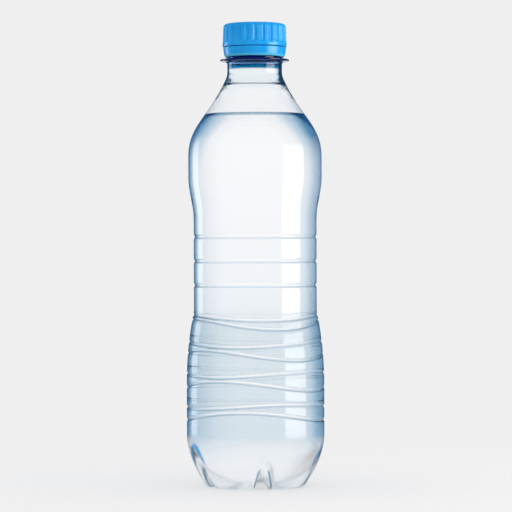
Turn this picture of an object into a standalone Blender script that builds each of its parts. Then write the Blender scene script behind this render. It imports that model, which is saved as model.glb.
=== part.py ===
"""A clear half-litre water bottle, full and closed with its blue screw cap.

Metres, +Z up. The origin is on the bottle's axis at the height its five feet stand on, and
the front is -Y. The bottle is one blown shell of even wall, thick only in its moulded neck.
The water, the cap and the ring that the cap leaves on the neck are pieces of their own.
Heights are stacked from the feet up, so features keep their order when one height changes.
A column is one meridian of a piece, at an angle counted from the front towards +X.
"""
import math

import bmesh
import bpy
from mathutils import Vector

# Shell and fits
WALL = 0.0004
RUNNING_GAP = 0.0003
TURNING_GAP = 0.0004
COLUMNS_PER_FOOT = 8

# Base of five feet
FEET = 5
FIRST_VALLEY = math.radians(8)
VALLEY_HALF_ANGLE = math.radians(11)
BASE_HEIGHT = 0.025
BASE_TURN = 0.011
FOOT_TURN = 0.0025
STRAP_TURN = 0.013
FOOT_OUTER_RADIUS = 0.023
FOOT_INNER_RADIUS = 0.019
HUB_HEIGHT = 0.0055
HUB_RADIUS = 0.005
FOOT_SHARES = (0.28, 0.54, 0.78, 1.0)
STRAP_UNDER_PAD = (0.48, 0.58)
STRAP_UNDER_SLOPE = (0.76, 0.9)

# Hip with four crossing pairs of wave grooves
HIP_RADIUS = 0.033
HIP_STRAIGHT = 0.025
WAVES_AROUND = 2
WAVE_START = 0.0092
WAVE_PITCH = 0.0146
WAVE_SWING = 0.0024
WAVE_PHASE = math.radians(80)
WAVE_PHASE_STEP = math.radians(-20)
TWIN_SPLITS = (0.0048, 0.0054, 0.0050, 0.0030)
TWIN_SWING = 0.0012
TWIN_PHASE = math.radians(-64)
TWIN_PHASE_STEP = math.radians(24)
WAVE_WIDTH = 0.0020
WAVE_DEPTH = 0.00045
RIDGE_SHARE = 0.45
WAIST_RISE = 0.006

# Waist with three ribs
WAIST_RADIUS = 0.0295
RIBS = 3
RIB_RISE = 0.0184
RIB_PITCH = 0.01155
RIB_WIDTH = 0.0026
RIB_DEPTH = 0.0005
WAIST_TAIL = 0.0085

# Bulge and shoulder
FLARE_HEIGHT = 0.020
BULGE_RADIUS = 0.032
BULGE_HEIGHT = 0.010
SHOULDER_HEIGHT = 0.035
SHOULDER_TURN = 0.0145
SHOULDER_FLANK = 0.016
SHOULDER_FLANK_RISE = 0.0076
NECK_FOOT_RADIUS = 0.0149
NECK_FOOT_WALL = 0.0016
SHOULDER_SHARES = (0.84, 0.66, 0.49, 0.33, 0.17)
FLARE_SHARES = (0.66, 0.33, 0)

# Neck and its threaded finish
NECK_RADIUS = 0.0131
NECK_HEIGHT = 0.0107
NECK_FLARE = 0.0037
RING_RADIUS = 0.0165
RING_THICKNESS = 0.0008
RING_TAPER = 0.0006
FINISH_HEIGHT = 0.0155
FINISH_RADIUS = 0.01247
BORE_RADIUS = 0.01087
BORE_RISE = 0.0011
BEAD_RISE = 0.0041
BEAD_HEIGHT = 0.0018
BEAD_RADIUS = 0.0138

# Thread, right-handed, with four vents
THREAD_PITCH = 0.0027
THREAD_CREST_RADIUS = 0.0137
THREAD_ROOT_WIDTH = 0.0013
THREAD_CREST_WIDTH = 0.0007
THREAD_SINK = 0.0004
THREAD_STEP = math.radians(15)
THREAD_TAPER_STEPS = 2
THREAD_DROP = 0.0017
NECK_THREAD_TURNS = 1.6
VENTS = 4
VENT_HALF_ANGLE = math.radians(9)
CAP_THREAD_TURNS = 1.2
CAP_THREAD_LEAD = math.radians(-60)
THREAD_FACE_GAP = 0.0003

# Cap
CAP_GRIPS = 24
GRIP_DEPTH = 0.0005
GRIP_HALF_ANGLE = math.radians(3)
FIRST_GRIP = math.radians(0.9)
CAP_TOP_THICKNESS = 0.0013
CAP_WALL = 0.0009
CAP_SKIRT_SPREAD = 0.0004
CAP_EDGE = 0.0017
CAP_EDGE_STEPS = ((0, 0), (45, 0.7), (90, 1))
CAP_LIP_HEIGHT = 0.0019
CAP_SLIT_RISE = 0.0003
PLUG_LENGTH = 0.0026
PLUG_THICKNESS = 0.0009
CAVITY_COLUMNS = 30

# Ring left on the neck when the cap is opened
BAND_HEIGHT = 0.0041
BAND_TAPER = 0.0005
BAND_WALL = 0.0007
FLAP_TIP = 0.0004
BAND_COLUMNS = 30

# Water
FILL_DROP = 0.0149
SHOULDER_NUDGE = 0.01
COLUMNS_PER_WATER_COLUMN = 2

# Counts, heights and radii worked out from the above
COLUMNS = FEET * COLUMNS_PER_FOOT
WAVE_LEVELS = len(TWIN_SPLITS)
FIRST_WAVE = BASE_HEIGHT + WAVE_START
LAST_WAVE = FIRST_WAVE + (WAVE_LEVELS - 1) * WAVE_PITCH
HIP_TOP = BASE_HEIGHT + HIP_STRAIGHT
WAIST_BOTTOM = LAST_WAVE + WAIST_RISE
FIRST_RIB = LAST_WAVE + RIB_RISE
WAIST_TOP = FIRST_RIB + (RIBS - 1) * RIB_PITCH + WAIST_TAIL
BULGE_BOTTOM = WAIST_TOP + FLARE_HEIGHT
BULGE_TOP = BULGE_BOTTOM + BULGE_HEIGHT
NECK_FOOT = BULGE_TOP + SHOULDER_HEIGHT
BORE_END = NECK_FOOT + BORE_RISE
RING_BOTTOM = NECK_FOOT + NECK_HEIGHT
RING_TOP = RING_BOTTOM + RING_THICKNESS
MOUTH = RING_TOP + FINISH_HEIGHT
BEAD_BOTTOM = RING_TOP + BEAD_RISE
BEAD_TOP = BEAD_BOTTOM + BEAD_HEIGHT
WATER_LEVEL = NECK_FOOT - FILL_DROP
CAP_INNER_RADIUS = THREAD_CREST_RADIUS + TURNING_GAP
CAP_RADIUS = CAP_INNER_RADIUS + CAP_WALL
CAP_CEILING = MOUTH + RUNNING_GAP
CAP_TOP = CAP_CEILING + CAP_TOP_THICKNESS
BAND_TOP = BEAD_TOP - RUNNING_GAP / 2
CAP_BOTTOM = BAND_TOP + CAP_SLIT_RISE


def bezier(points, t):
    """The point at t of the cubic curve with these four (radius, height) points."""
    weights = ((1 - t) ** 3, 3 * t * (1 - t) ** 2, 3 * t * t * (1 - t), t**3)
    return tuple(sum(w * p[i] for w, p in zip(weights, points)) for i in range(2))


def smooth_step(t):
    t = min(max(t, 0), 1)
    return t * t * (3 - 2 * t)


def blend(a, b, share):
    return a + (b - a) * share


def place(angle, radius, height):
    """The point at an angle from the front, counter-clockwise seen from above."""
    return Vector((radius * math.sin(angle), -radius * math.cos(angle), height))


def shoulder_point(t):
    """A point of the shoulder, from the bulge at t = 0 up to the foot of the neck."""
    curve = (
        (BULGE_RADIUS, BULGE_TOP),
        (BULGE_RADIUS, BULGE_TOP + SHOULDER_TURN),
        (NECK_FOOT_RADIUS + SHOULDER_FLANK_RISE, NECK_FOOT - SHOULDER_FLANK),
        (NECK_FOOT_RADIUS, NECK_FOOT),
    )
    return bezier(curve, t)


def shoulder_share(height):
    """The t at which the shoulder reaches a height."""
    low, high = 0.0, 1.0
    for _ in range(40):
        middle = (low + high) / 2
        if shoulder_point(middle)[1] < height:
            low = middle
        else:
            high = middle
    return low


def body_radius(height):
    """The radius of the body between its grooves, from the top of the base upwards."""
    if height > BULGE_TOP:
        return shoulder_point(shoulder_share(height))[0]
    if height > WAIST_TOP:
        share = smooth_step((height - WAIST_TOP) / FLARE_HEIGHT)
        return blend(WAIST_RADIUS, BULGE_RADIUS, share)
    share = min(max((height - HIP_TOP) / (WAIST_BOTTOM - HIP_TOP), 0), 1)
    return blend(HIP_RADIUS, WAIST_RADIUS, share * share)


def foot_point(share):
    """The outline of a foot, from the top of the base at 0 to its pad's outer edge at 1."""
    curve = (
        (HIP_RADIUS, BASE_HEIGHT),
        (HIP_RADIUS, BASE_HEIGHT - BASE_TURN),
        (FOOT_OUTER_RADIUS + FOOT_TURN, FOOT_TURN),
        (FOOT_OUTER_RADIUS, 0),
    )
    return bezier(curve, share)


def strap_point(share):
    """The floor of a valley between two feet, from the top of the base to the hub."""
    curve = (
        (HIP_RADIUS, BASE_HEIGHT),
        (HIP_RADIUS, BASE_HEIGHT - STRAP_TURN),
        (HIP_RADIUS / 2, HUB_HEIGHT),
        (0, HUB_HEIGHT),
    )
    return bezier(curve, share)


def foot_share(angle):
    """0 on the floor of a valley, 1 on the foot beside it."""
    pitch = 2 * math.pi / FEET
    off = (angle - FIRST_VALLEY + pitch / 2) % pitch - pitch / 2
    return smooth_step(abs(off) / VALLEY_HALF_ANGLE)


def column_angles():
    return [FIRST_VALLEY + 2 * math.pi * j / COLUMNS for j in range(COLUMNS)]


def level_row(radius, height):
    return [place(a, radius, height) for a in column_angles()]


def body_row(height, depth=0.0):
    """A level row of the body, cut in by a depth."""
    return level_row(body_radius(height) - depth, height)


def wave_pair_rows(level):
    """The six rows of a twin groove and, below it, its main groove, swinging round the body.

    Where the two come close, their inner edges meet in a ridge that is lower than the skin.
    """
    centre = FIRST_WAVE + level * WAVE_PITCH
    half = WAVE_WIDTH / 2
    rows = [[] for _ in range(6)]
    for angle in column_angles():
        main_turn = angle - WAVE_PHASE - level * WAVE_PHASE_STEP
        twin_turn = angle - TWIN_PHASE - level * TWIN_PHASE_STEP
        main = centre - WAVE_SWING * math.cos(WAVES_AROUND * main_turn)
        twin = centre + TWIN_SPLITS[level] - TWIN_SWING * math.cos(WAVES_AROUND * twin_turn)
        twin = max(twin, main + half)
        inner = min(half, (twin - main) * RIDGE_SHARE)
        ridge = WAVE_DEPTH * (1 - inner / half)
        stations = (
            (twin + half, 0),
            (twin, WAVE_DEPTH),
            (twin - inner, ridge),
            (main + inner, ridge),
            (main, WAVE_DEPTH),
            (main - half, 0),
        )
        for row, (height, depth) in zip(rows, stations):
            row.append(place(angle, body_radius(height) - depth, height))
    return rows


def base_row(foot, strap):
    """A row of the base from its point on a foot and its point in a valley."""
    row = []
    for angle in column_angles():
        share = foot_share(angle)
        row.append(place(angle, *(blend(s, f, share) for s, f in zip(strap, foot))))
    return row


def base_rows():
    """The rows under the hip, down the feet and up to the hub."""
    rows = []
    outer, inner = STRAP_UNDER_PAD
    for share in FOOT_SHARES:
        rows.append(base_row(foot_point(share), strap_point(outer * share)))
    rows.append(base_row((FOOT_INNER_RADIUS, 0), strap_point(inner)))
    middle, end = STRAP_UNDER_SLOPE
    halfway = ((FOOT_INNER_RADIUS + HUB_RADIUS) / 2, HUB_HEIGHT / 2)
    rows.append(base_row(halfway, strap_point(middle)))
    rows.append(base_row((HUB_RADIUS, HUB_HEIGHT), strap_point(end)))
    return rows


def body_rows():
    """The outer rows of the blown body, top to bottom, and which of them the inside follows."""
    rows, inside = [], []
    for share in SHOULDER_SHARES:
        rows.append(level_row(*shoulder_point(share)))
    for height in (BULGE_TOP, BULGE_BOTTOM):
        rows.append(body_row(height))
    for share in FLARE_SHARES:
        rows.append(body_row(WAIST_TOP + share * FLARE_HEIGHT))
    inside += [True] * len(rows)
    for rib in reversed(range(RIBS)):
        middle = FIRST_RIB + rib * RIB_PITCH
        rows.append(body_row(middle + RIB_WIDTH / 2))
        rows.append(body_row(middle, RIB_DEPTH))
        rows.append(body_row(middle - RIB_WIDTH / 2))
        inside += [True, True, True]
    for level in reversed(range(WAVE_LEVELS)):
        rows += wave_pair_rows(level)
        inside += [True, True, False, False, True, True]
    low = [body_row(BASE_HEIGHT)] + base_rows()
    return rows + low, inside + [True] * len(low)


def finish_rows():
    """The outside of the moulded neck, from the mouth down to the shoulder."""
    bead_slope = BEAD_HEIGHT / 3
    profile = (
        (FINISH_RADIUS, MOUTH),
        (FINISH_RADIUS, BEAD_TOP),
        (BEAD_RADIUS, BEAD_TOP - bead_slope),
        (BEAD_RADIUS, BEAD_BOTTOM),
        (FINISH_RADIUS, BEAD_BOTTOM),
        (FINISH_RADIUS, RING_TOP),
        (RING_RADIUS, RING_TOP),
        (RING_RADIUS, RING_BOTTOM),
        (NECK_RADIUS, RING_BOTTOM - RING_TAPER),
        (NECK_RADIUS, NECK_FOOT + NECK_FLARE),
        (NECK_FOOT_RADIUS, NECK_FOOT),
    )
    return [level_row(radius, height) for radius, height in profile]


def inward_rows(rows, depths):
    """The rows with a depth, each point moved in from the surface by it."""
    moved = []
    for i, depth in enumerate(depths):
        if not depth:
            continue
        above, below = rows[max(i - 1, 0)], rows[min(i + 1, len(rows) - 1)]
        row = []
        for j, point in enumerate(rows[i]):
            across = rows[i][(j + 1) % COLUMNS] - rows[i][j - 1]
            outward = (below[j] - above[j]).cross(across).normalized()
            row.append(point - depth * outward)
        moved.append(row)
    return moved


def add_rings(mesh, rings, closed=False):
    """Joins each ring of points to the next with faces. A ring of one point is a pole."""
    corners = [[mesh.verts.new(point) for point in ring] for ring in rings]
    pairs = list(zip(corners, corners[1:]))
    if closed:
        pairs.append((corners[-1], corners[0]))
    for one, other in pairs:
        count = max(len(one), len(other))
        if len(one) == len(other) == 1:
            continue
        for j in range(count):
            k = (j + 1) % count
            face = [one[j % len(one)], other[j % len(other)]]
            if len(other) > 1:
                face.append(other[k])
            if len(one) > 1:
                face.append(one[k])
            mesh.faces.new(face)
    bmesh.ops.triangulate(mesh, faces=mesh.faces, quad_method="SHORT_EDGE")


def turned_rings(profile, columns):
    """Rings that turn a closed outline of (radius, height) points round the axis."""
    rings = []
    for radius, height in profile:
        if radius == 0:
            rings.append([Vector((0, 0, height))])
            continue
        turns = [2 * math.pi * j / columns for j in range(columns)]
        rings.append([place(turn, radius, height) for turn in turns])
    return rings


def make_object(name, fill, material=None):
    """An object whose mesh is filled by a function."""
    mesh = bmesh.new()
    fill(mesh)
    data = bpy.data.meshes.new(name)
    mesh.to_mesh(data)
    mesh.free()
    thing = bpy.data.objects.new(name, data)
    bpy.context.scene.collection.objects.link(thing)
    if material:
        data.materials.append(material)
        data.shade_smooth()
        data.set_sharp_from_angle(angle=math.radians(40))
    else:
        thing.hide_render = True
        thing.display_type = "WIRE"
    return thing


def combine(thing, tool, operation):
    change = thing.modifiers.new(tool.name, "BOOLEAN")
    change.operation = operation
    change.object = tool
    change.solver = "EXACT"


def plastic(name, colour, roughness, alpha=1.0):
    material = bpy.data.materials.new(name)
    material.use_nodes = True
    shader = material.node_tree.nodes["Principled BSDF"]
    shader.inputs["Base Color"].default_value = (*colour, 1)
    shader.inputs["Roughness"].default_value = roughness
    shader.inputs["Metallic"].default_value = 0
    shader.inputs["Alpha"].default_value = alpha
    return material


def thread(name, root, crest, turns, lead, drop, vents):
    """A ridge along the shared helix, sunk into its wall, its ends running out into it."""
    inside = root > crest
    buried = root + THREAD_SINK if inside else root - THREAD_SINK
    steps = round(2 * math.pi * turns / THREAD_STEP)
    start = MOUTH - THREAD_DROP - NECK_THREAD_TURNS * THREAD_PITCH

    def section(step):
        angle = lead + step * THREAD_STEP
        height = start - drop + THREAD_PITCH * angle / (2 * math.pi)
        share = min(step, steps - step, THREAD_TAPER_STEPS) / THREAD_TAPER_STEPS
        if vents:
            gap = 2 * math.pi / vents
            off = abs((angle + gap / 2) % gap - gap / 2)
            share = min(share, 0 if off < VENT_HALF_ANGLE else 1)
        tip = blend((root + buried) / 2, crest, share)
        return [
            place(angle, radius, height + half)
            for radius, half in (
                (buried, -THREAD_ROOT_WIDTH / 2),
                (tip, -THREAD_CREST_WIDTH / 2),
                (tip, THREAD_CREST_WIDTH / 2),
                (buried, THREAD_ROOT_WIDTH / 2),
            )
        ]

    def fill(mesh):
        sections = [section(step) for step in range(steps + 1)]
        add_rings(mesh, sections)
        mesh.verts.ensure_lookup_table()
        mesh.faces.new(mesh.verts[:4])
        mesh.faces.new(mesh.verts[-4:])
        bmesh.ops.recalc_face_normals(mesh, faces=mesh.faces)

    return make_object(name, fill)


def make_bottle():
    def fill(mesh):
        rows, inside = body_rows()
        finish = finish_rows()
        outer = finish + rows
        depths = [0] * (len(finish) - 1) + [NECK_FOOT_WALL]
        depths += [WALL if follow else 0 for follow in inside]
        bore = [level_row(BORE_RADIUS, MOUTH), level_row(BORE_RADIUS, BORE_END)]
        inner = bore + inward_rows(outer, depths)
        hub = [Vector((0, 0, HUB_HEIGHT))]
        floor = [Vector((0, 0, HUB_HEIGHT + WALL))]
        add_rings(mesh, outer + [hub, floor] + inner[::-1], closed=True)

    clear = plastic("clear_pet", (0.80, 0.90, 0.97), 0.05, alpha=0.25)
    bottle = make_object("bottle", fill, clear)
    ridge = thread(
        "neck_thread", FINISH_RADIUS, THREAD_CREST_RADIUS, NECK_THREAD_TURNS, 0, 0, VENTS
    )
    combine(bottle, ridge, "UNION")
    return bottle


def rim_radius(height, inset):
    """The radius at a height of the shoulder's skin, moved in by an inset."""
    share = shoulder_share(height)
    (low_radius, low), (high_radius, high) = (
        shoulder_point(share + side * SHOULDER_NUDGE) for side in (-1, 1)
    )
    lean = math.hypot(high_radius - low_radius, high - low) / (high - low)
    return shoulder_point(share)[0] - inset * lean


def make_water():
    """The water: level on top, and a running gap from the wall at the floors of the grooves."""
    inset = WALL + RUNNING_GAP
    groove_inset = inset + max(RIB_DEPTH, WAVE_DEPTH)

    def fill(mesh):
        level = shoulder_share(WATER_LEVEL)
        shares = [level] + [share for share in SHOULDER_SHARES if share < level]
        rows = [level_row(*shoulder_point(share)) for share in shares]
        rows += [body_row(BULGE_TOP), body_row(BULGE_BOTTOM)]
        rows += [body_row(WAIST_TOP + FLARE_HEIGHT * FLARE_SHARES[0])]
        depths = [inset] * len(rows)
        middle = (HIP_TOP + WAIST_BOTTOM) / 2
        grooved = (WAIST_TOP, WAIST_BOTTOM, middle, HIP_TOP, BASE_HEIGHT)
        rows += [body_row(height) for height in grooved]
        depths += [groove_inset] * len(grooved)
        rows += base_rows()
        depths += [inset] * (len(rows) - len(depths))
        inner = inward_rows(rows, depths)
        inner[0] = level_row(rim_radius(WATER_LEVEL, inset), WATER_LEVEL)
        inner = [row[::COLUMNS_PER_WATER_COLUMN] for row in inner]
        surface = [Vector((0, 0, WATER_LEVEL))]
        floor = [Vector((0, 0, HUB_HEIGHT + inset))]
        add_rings(mesh, [surface] + inner + [floor])

    return make_object("water", fill, plastic("water", (0.75, 0.87, 0.96), 0.02, alpha=0.4))


def cap_outline():
    """Radius, height and share of the grip's depth down the outside of the cap.

    Each step round the top edge is its turn in degrees and that share.
    """
    skirt = CAP_TOP - CAP_BOTTOM - CAP_LIP_HEIGHT

    def radius(height):
        return CAP_RADIUS + CAP_SKIRT_SPREAD * (CAP_TOP - height) / (CAP_TOP - CAP_BOTTOM)

    outline = []
    for turn, depth in CAP_EDGE_STEPS:
        angle = math.radians(turn)
        height = CAP_TOP - CAP_EDGE * (1 - math.cos(angle))
        inset = CAP_EDGE * (1 - math.sin(angle))
        outline.append((radius(height) - inset, height, depth))
    grip_end = CAP_TOP - skirt
    outline.append((radius(grip_end + GRIP_DEPTH), grip_end + GRIP_DEPTH, 1))
    outline.append((radius(grip_end), grip_end, 0))
    outline.append((radius(CAP_BOTTOM), CAP_BOTTOM, 0))
    return outline


def make_cap(material):
    plug_outer = BORE_RADIUS - RUNNING_GAP
    plug_inner = plug_outer - PLUG_THICKNESS
    plug_bottom = MOUTH - PLUG_LENGTH

    def fill(mesh):
        rings = [[Vector((0, 0, CAP_TOP))]]
        for radius, height, depth in cap_outline():
            ring = []
            for grip in range(CAP_GRIPS):
                middle = FIRST_GRIP + 2 * math.pi * grip / CAP_GRIPS
                for side in (-1, 0, 1):
                    cut = 0 if side else GRIP_DEPTH * depth
                    angle = middle + side * GRIP_HALF_ANGLE
                    ring.append(place(angle, radius - cut, height))
            rings.append(ring)
        rings.append([Vector((0, 0, CAP_BOTTOM))])
        add_rings(mesh, rings)

    def fill_cavity(mesh):
        below = CAP_BOTTOM - CAP_SLIT_RISE / 2
        profile = (
            (0, CAP_CEILING),
            (plug_inner, CAP_CEILING),
            (plug_inner, plug_bottom),
            (plug_outer, plug_bottom),
            (plug_outer, CAP_CEILING),
            (CAP_INNER_RADIUS, CAP_CEILING),
            (CAP_INNER_RADIUS, below),
            (0, below),
        )
        add_rings(mesh, turned_rings(profile, CAVITY_COLUMNS))

    cap = make_object("cap", fill, material)
    combine(cap, make_object("cap_cavity", fill_cavity), "DIFFERENCE")
    crest = FINISH_RADIUS + TURNING_GAP
    drop = (THREAD_ROOT_WIDTH + THREAD_CREST_WIDTH) / 2 + THREAD_FACE_GAP
    ridge = thread(
        "cap_thread", CAP_INNER_RADIUS, crest, CAP_THREAD_TURNS, CAP_THREAD_LEAD, drop, 0
    )
    combine(cap, ridge, "UNION")
    return cap


def make_tamper_band(material):
    outer_top = CAP_RADIUS + CAP_SKIRT_SPREAD / 4
    outer_bottom = outer_top - BAND_TAPER
    inner = BEAD_RADIUS + TURNING_GAP
    flap_inner = FINISH_RADIUS + TURNING_GAP
    flap_top = BEAD_BOTTOM - RUNNING_GAP
    bottom = BAND_TOP - BAND_HEIGHT

    def fill(mesh):
        profile = (
            (outer_top, BAND_TOP),
            (outer_bottom, bottom),
            (outer_bottom - BAND_WALL, bottom),
            (flap_inner, flap_top - FLAP_TIP),
            (flap_inner, flap_top),
            (inner, flap_top),
            (inner, BAND_TOP),
        )
        add_rings(mesh, turned_rings(profile, BAND_COLUMNS), closed=True)

    return make_object("tamper_band", fill, material)


def main():
    for thing in list(bpy.data.objects):
        bpy.data.objects.remove(thing)
    blue = plastic("blue_hdpe", (0.02, 0.35, 0.85), 0.35)
    make_bottle()
    make_water()
    make_cap(blue)
    make_tamper_band(blue)


main()
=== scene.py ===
"""Looks for a clear half-litre water bottle, full and closed with its blue screw cap.

Metres, +Z up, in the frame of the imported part. The origin is on the bottle's axis at the height
its feet stand on, and the front is -Y. Each piece follows the CAD node that it replaces, with
rounded grooves, feet, threads and edges; the tamper band is drawn deeper than its node, and the
cap's grips deeper and wider. A row is a ring of points round the axis, and a column is one
meridian, at an angle counted from the front towards +X.
"""
import math

import bpy
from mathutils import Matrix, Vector

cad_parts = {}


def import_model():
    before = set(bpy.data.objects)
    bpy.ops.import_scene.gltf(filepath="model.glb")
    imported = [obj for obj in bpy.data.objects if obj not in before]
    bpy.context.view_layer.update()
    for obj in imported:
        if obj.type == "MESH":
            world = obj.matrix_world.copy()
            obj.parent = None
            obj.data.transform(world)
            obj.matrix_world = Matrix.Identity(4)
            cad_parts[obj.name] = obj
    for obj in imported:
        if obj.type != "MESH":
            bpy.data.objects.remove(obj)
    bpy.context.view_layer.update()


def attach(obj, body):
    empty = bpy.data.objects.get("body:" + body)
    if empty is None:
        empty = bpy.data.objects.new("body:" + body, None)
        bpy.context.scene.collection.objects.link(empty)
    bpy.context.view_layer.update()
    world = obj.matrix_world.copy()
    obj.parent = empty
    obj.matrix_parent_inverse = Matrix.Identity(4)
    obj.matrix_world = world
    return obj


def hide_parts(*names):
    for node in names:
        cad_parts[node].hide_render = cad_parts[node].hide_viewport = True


# Shell
WALL = 0.0004
WATER_SINK = 0.00034
COLUMNS = 135
GROOVE_SHARPNESS = 1.5

# Base of five feet
FEET = 5
FIRST_VALLEY = math.radians(8)
VALLEY_HALF_ANGLE = math.radians(11)
BASE_HEIGHT = 0.025
BASE_TURN = 0.011
FOOT_TURN = 0.0025
STRAP_TURN = 0.013
FOOT_OUTER_RADIUS = 0.023
FOOT_INNER_RADIUS = 0.019
HUB_HEIGHT = 0.0055
HUB_RADIUS = 0.005
STRAP_UNDER_PAD = (0.48, 0.58)
STRAP_UNDER_SLOPE = (0.76, 0.9)

# Hip with four crossing pairs of wave grooves
HIP_RADIUS = 0.033
HIP_STRAIGHT = 0.025
WAVES_AROUND = 2
WAVE_START = 0.0092
WAVE_PITCH = 0.0146
WAVE_SWING = 0.0024
WAVE_PHASE = math.radians(80)
WAVE_PHASE_STEP = math.radians(-20)
TWIN_SPLITS = (0.0048, 0.0054, 0.0050, 0.0030)
TWIN_SWING = 0.0012
TWIN_PHASE = math.radians(-64)
TWIN_PHASE_STEP = math.radians(24)
WAVE_WIDTH = 0.0020
WAVE_DEPTH = 0.00045
WAIST_RISE = 0.006

# Waist with three ribs
WAIST_RADIUS = 0.0295
RIBS = 3
RIB_RISE = 0.0184
RIB_PITCH = 0.01155
RIB_WIDTH = 0.0026
RIB_DEPTH = 0.0005
WAIST_TAIL = 0.0085

# Bulge and shoulder
FLARE_HEIGHT = 0.020
BULGE_RADIUS = 0.032
BULGE_HEIGHT = 0.010
SHOULDER_HEIGHT = 0.035
SHOULDER_TURN = 0.0145
SHOULDER_FLANK = 0.016
SHOULDER_FLANK_RISE = 0.0076
NECK_FOOT_RADIUS = 0.0149
THICK_SHOULDER_SHARE = 0.80
NECK_SHARE = 0.97

# Neck and its threaded finish
NECK_RADIUS = 0.0131
NECK_HEIGHT = 0.0107
NECK_FLARE = 0.0037
RING_RADIUS = 0.0165
RING_THICKNESS = 0.0008
RING_TAPER = 0.0006
UNDER_RING = 0.001
FINISH_HEIGHT = 0.0155
FINISH_RADIUS = 0.01247
BORE_RADIUS = 0.01087
BORE_RISE = 0.0011
BEAD_RISE = 0.0041
BEAD_HEIGHT = 0.0018
BEAD_RADIUS = 0.0138
LIP_ROUND = 0.0004
BORE_RIM = 0.0006
BORE_ROUND = 0.0004
BORE_START = 0.002

# Wall of the neck, as heights over the neck's foot and the wall's thickness there
NECK_WALLS = (
    (0.0058, 0.00223), (0.0010, 0.0017), (-0.0006, 0.0014), (-0.0010, 0.0009), (-0.004, 0.0006),
)

# Thread
THREAD_PITCH = 0.0027
THREAD_CREST_RADIUS = 0.0137
THREAD_ROOT_WIDTH = 0.0013
THREAD_CREST_WIDTH = 0.0007
THREAD_TAPER = math.radians(24)
THREAD_DROP = 0.0017
NECK_THREAD_TURNS = 1.6
VENTS = 4
VENT_HALF_ANGLE = math.radians(9)
CAP_THREAD_TURNS = 1.2
CAP_THREAD_LEAD = math.radians(-60)
THREAD_FACE_GAP = 0.0003

# Cap and the ring that it leaves on the neck
TURNING_GAP = 0.0004
RUNNING_GAP = 0.0003
CAP_GRIPS = 24
GRIP_COLUMNS = 24
GRIP_FADE = 0.0008
GRIP_DEPTH = 0.0007
GRIP_HALF_ANGLE = math.radians(4.2)
FIRST_GRIP = math.radians(0.9)
FINE_RIBS = 2
FINE_RIB_DEPTH = 0.00015
CAP_TOP_THICKNESS = 0.0013
CAP_WALL = 0.0009
CAP_SKIRT_SPREAD = 0.0004
CAP_EDGE = 0.0017
CAP_LIP_HEIGHT = 0.0019
CAP_LIP_DROP = 0.0006
CAP_LIP_ROUND = 0.0003
CAP_TOP_SHARES = (0.35, 0.7, 0.95)
CAP_THREAD_BOTTOM = 0.0002
CAP_THREAD_TOP = 0.0004
CAP_SLIT_RISE = 0.0003
PLUG_LENGTH = 0.0026
PLUG_THICKNESS = 0.0009
BAND_HEIGHT = 0.0046
BAND_TAPER = 0.0005
BAND_WALL = 0.0007
BAND_CHAMFER = 0.001
FLAP_TIP = 0.0004
BAND_COLUMNS = 180

# Water
FILL_DROP = 0.0149
MENISCUS_RISE = 0.0013
MENISCUS_REACH = 0.0009
MENISCUS_SPAN = 3.2
SURFACE_SHARES = (0.2, 0.4, 0.6, 0.75, 0.85)

# Rows of points over each stretch, from the mouth down, and the height of one in the thread
THREAD_ROW = 0.0002
LIP_ROWS = 4
BORE_ROWS = 8
THINNING_ROWS = 60
SHOULDER_ROWS = 34
FLARE_ROWS = 24
ABOVE_RIB_ROWS = 5
RIB_ROWS = 14
BELOW_RIBS_ROWS = 6
ABOVE_WAVE_ROWS = 4
HALF_WAVE_ROWS = 5
BETWEEN_WAVES_ROWS = 12
BELOW_WAVES_ROWS = 6
FOOT_ROWS = 26
PAD_ROWS = 2
UNDERSIDE_ROWS = 4
MENISCUS_ROWS = 14
GRIP_ROWS = 8
GRIP_END_ROWS = 6
CAP_THREAD_ROWS = 40

# Counts, heights and radii worked out from the above
WAVE_LEVELS = len(TWIN_SPLITS)
FIRST_WAVE = BASE_HEIGHT + WAVE_START
LAST_WAVE = FIRST_WAVE + (WAVE_LEVELS - 1) * WAVE_PITCH
HIP_TOP = BASE_HEIGHT + HIP_STRAIGHT
WAIST_BOTTOM = LAST_WAVE + WAIST_RISE
FIRST_RIB = LAST_WAVE + RIB_RISE
WAIST_TOP = FIRST_RIB + (RIBS - 1) * RIB_PITCH + WAIST_TAIL
BULGE_BOTTOM = WAIST_TOP + FLARE_HEIGHT
BULGE_TOP = BULGE_BOTTOM + BULGE_HEIGHT
NECK_FOOT = BULGE_TOP + SHOULDER_HEIGHT
BORE_END = NECK_FOOT + BORE_RISE
RING_BOTTOM = NECK_FOOT + NECK_HEIGHT
RING_TOP = RING_BOTTOM + RING_THICKNESS
MOUTH = RING_TOP + FINISH_HEIGHT
BEAD_BOTTOM = RING_TOP + BEAD_RISE
BEAD_TOP = BEAD_BOTTOM + BEAD_HEIGHT
WATER_LEVEL = NECK_FOOT - FILL_DROP
CAP_INNER_RADIUS = THREAD_CREST_RADIUS + TURNING_GAP
CAP_RADIUS = CAP_INNER_RADIUS + CAP_WALL
CAP_CEILING = MOUTH + RUNNING_GAP
CAP_TOP = CAP_CEILING + CAP_TOP_THICKNESS
BAND_TOP = BEAD_TOP - RUNNING_GAP / 2
CAP_BOTTOM = BAND_TOP + CAP_SLIT_RISE

# Camera and picture
CAMERA_DISTANCE = 1.25
CAMERA_ROLL = math.radians(0.16)
CAMERA_HEIGHT = 0.1103
CAMERA_SIDE = 0.0004
LENS = 183.1
BACKGROUND = 0.8632
FLOOR_LIFT = 0.375
FLOOR_RADIUS = 1.2
BOUNCES = 64

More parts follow.
